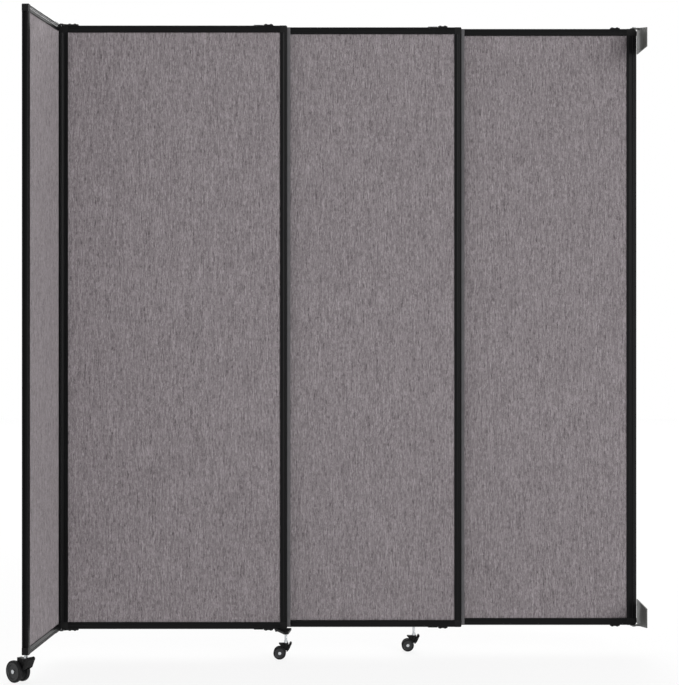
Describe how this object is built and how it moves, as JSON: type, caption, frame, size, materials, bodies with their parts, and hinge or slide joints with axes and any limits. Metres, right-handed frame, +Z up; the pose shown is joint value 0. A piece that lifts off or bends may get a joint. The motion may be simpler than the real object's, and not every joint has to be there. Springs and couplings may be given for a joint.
{
  "type": "sliding room divider",
  "caption": "Wall-mounted room divider of framed cloth panels that telescope past each other on slide guides, with a hinged return panel at the free end and braked casters.",
  "frame": {"origin": "on the wall face of the lower wall bracket, level with the pivot axis, 140 mm above the floor", "axes": "+X square to the wall and into it, so the divider runs toward -X; +Y behind the panels; +Z up"},
  "size_m": [2.2319, 0.5984, 2.294],
  "materials": {
    "frame": "black anodised",
    "corner_moulding": "moulded, fine grain",
    "core_board": "pressed board",
    "cloth": "woven, upright slub",
    "guide_moulding": "moulded",
    "seal_rubber": "extruded",
    "bolt_steel": "black oxide",
    "bracket_steel": "black powder coat",
    "pin_steel": "turned",
    "stem_steel": "zinc plated",
    "wheel_rubber": "moulded, grey",
    "housing_moulding": "moulded",
    "lever_moulding": "moulded"
  },
  "bodies": {
    "wall_brackets": {"lower_wall_bracket": "bracket_steel", "upper_wall_bracket": "bracket_steel", "pivot_pins": "pin_steel"},
    "anchor_panel": {"anchor_left_stile": "frame", "anchor_pivot_stile": "frame", "anchor_top_rail": "frame", "anchor_bottom_rail": "frame", "anchor_corner_blocks": "corner_moulding", "anchor_core": "core_board", "anchor_cloth": "cloth", "anchor_slide_guides": "guide_moulding", "anchor_wall_seal": "seal_rubber", "anchor_bolts": "bolt_steel", "anchor_caster_stem": "stem_steel"},
    "middle_panel": {"middle_left_stile": "frame", "middle_right_stile": "frame", "middle_top_rail": "frame", "middle_bottom_rail": "frame", "middle_corner_blocks": "corner_moulding", "middle_core": "core_board", "middle_cloth": "cloth", "middle_slide_guides": "guide_moulding", "middle_edge_seal": "seal_rubber", "middle_bolts": "bolt_steel"},
    "lead_panel": {"lead_hinge_stile": "frame", "lead_slide_stile": "frame", "lead_top_rail": "frame", "lead_bottom_rail": "frame", "lead_corner_blocks": "corner_moulding", "lead_core": "core_board", "lead_cloth": "cloth", "lead_slide_guides": "guide_moulding", "lead_edge_seal": "seal_rubber", "lead_bolts": "bolt_steel", "lead_hinge_leaves": "bracket_steel", "lead_outrigger": "bracket_steel", "lead_caster_stem": "stem_steel", "hinge_pins": "pin_steel"},
    "return_panel": {"return_end_stile": "frame", "return_hinge_stile": "frame", "return_top_rail": "frame", "return_bottom_rail": "frame", "return_corner_blocks": "corner_moulding", "return_core": "core_board", "return_cloth": "cloth", "return_bolts": "bolt_steel", "return_hinge_leaves": "bracket_steel", "return_caster_stem": "stem_steel"},
    "return_caster": {"return_caster_housing": "housing_moulding", "return_caster_axle": "stem_steel"},
    "return_wheels": {"return_caster_wheels": "wheel_rubber"},
    "return_brake": {"return_caster_brake": "lever_moulding"},
    "lead_caster": {"lead_caster_housing": "housing_moulding", "lead_caster_axle": "stem_steel"},
    "lead_wheels": {"lead_caster_wheels": "wheel_rubber"},
    "lead_brake": {"lead_caster_brake": "lever_moulding"},
    "anchor_caster": {"anchor_caster_housing": "housing_moulding", "anchor_caster_axle": "stem_steel"},
    "anchor_wheels": {"anchor_caster_wheels": "wheel_rubber"},
    "anchor_brake": {"anchor_caster_brake": "lever_moulding"}
  },
  "joints": [
    {"name": "wall_pivot", "type": "hinge", "parent": "wall_brackets", "child": "anchor_panel", "pos_m": [-0.022, 0, 0], "axis": [0, 0, 1], "range_deg": [-90, 0]},
    {"name": "middle_slide", "type": "slide", "parent": "anchor_panel", "child": "middle_panel", "axis": [1, 0, 0], "range_m": [0, 0.598]},
    {"name": "lead_slide", "type": "slide", "parent": "middle_panel", "child": "lead_panel", "axis": [1, 0, 0], "range_m": [0, 0.598]},
    {"name": "return_hinge", "type": "hinge", "parent": "lead_panel", "child": "return_panel", "pos_m": [-2.1125, -0.0874, 0], "axis": [0, 0, 1], "range_deg": [-85.4, 94.6]},
    {"name": "return_swivel", "type": "hinge", "parent": "return_panel", "child": "return_caster", "pos_m": [-2.1589, -0.52198, -0.1], "axis": [0, 0, 1], "continuous": true},
    {"name": "return_roll", "type": "hinge", "parent": "return_caster", "child": "return_wheels", "pos_m": [-2.1906, -0.49442, -0.1025], "axis": [0.6561, 0.7547, 0], "continuous": true},
    {"name": "return_brake_press", "type": "hinge", "parent": "return_caster", "child": "return_brake", "pos_m": [-2.14985, -0.52985, -0.079], "axis": [0.6561, 0.7547, 0], "range_deg": [0, 11]},
    {"name": "lead_swivel", "type": "hinge", "parent": "lead_panel", "child": "lead_caster", "pos_m": [-1.2975, -0.136, -0.1], "axis": [0, 0, 1], "continuous": true},
    {"name": "lead_roll", "type": "hinge", "parent": "lead_caster", "child": "lead_wheels", "pos_m": [-1.3195, -0.136, -0.1175], "axis": [0, 1, 0], "continuous": true},
    {"name": "lead_brake_press", "type": "hinge", "parent": "lead_caster", "child": "lead_brake", "pos_m": [-1.289, -0.136, -0.1015], "axis": [0, 1, 0], "range_deg": [0, 11]},
    {"name": "anchor_swivel", "type": "hinge", "parent": "anchor_panel", "child": "anchor_caster", "pos_m": [-0.8318, 0, -0.1], "axis": [0, 0, 1], "continuous": true},
    {"name": "anchor_roll", "type": "hinge", "parent": "anchor_caster", "child": "anchor_wheels", "pos_m": [-0.8538, 0, -0.1175], "axis": [0, 1, 0], "continuous": true},
    {"name": "anchor_brake_press", "type": "hinge", "parent": "anchor_caster", "child": "anchor_brake", "pos_m": [-0.8233, 0, -0.1015], "axis": [0, 1, 0], "range_deg": [0, 11]}
  ]
}
